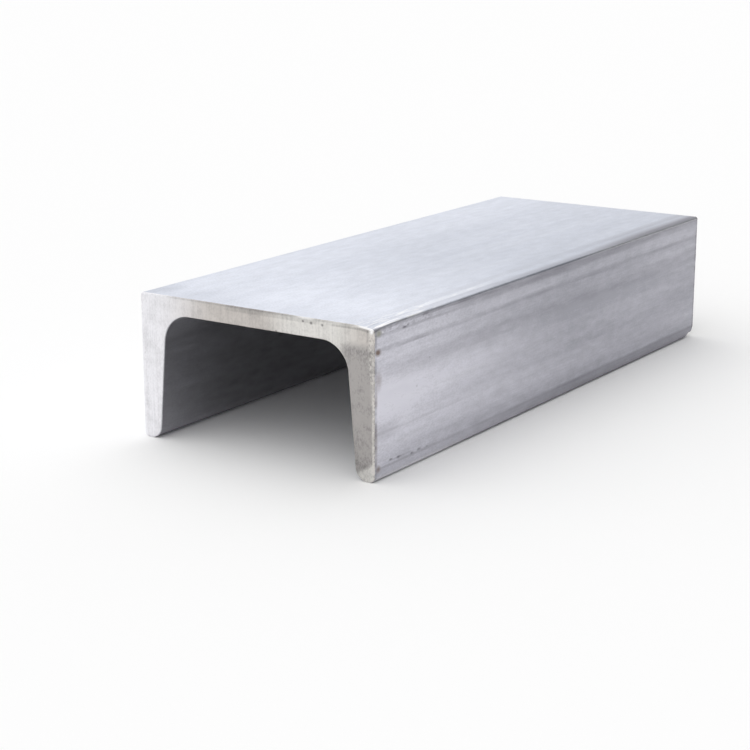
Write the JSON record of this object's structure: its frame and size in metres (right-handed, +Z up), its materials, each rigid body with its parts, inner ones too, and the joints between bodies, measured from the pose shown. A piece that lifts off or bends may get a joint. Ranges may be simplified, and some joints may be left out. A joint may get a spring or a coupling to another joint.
{
  "type": "metal channel section",
  "caption": "Short length of hot-rolled steel channel: a flat web with tapered flanges, rounded roots and toes, and square sawn ends, for framing, brackets and general fabrication.",
  "frame": {"origin": "on the floor, at the middle of the rectangle that the piece covers, midway between the flanges and between the sawn ends", "axes": "+Z up, from the toes to the back of the web; +Y along the length, away from the sawn end that the picture shows; +X across the section"},
  "size_m": [0.075, 0.19, 0.04],
  "materials": {
    "rolled_steel": "pickled matt mill finish, with lengthwise roll marks and sawn ends"
  },
  "bodies": {
    "root": {"channel": "rolled_steel"}
  },
  "joints": []
}
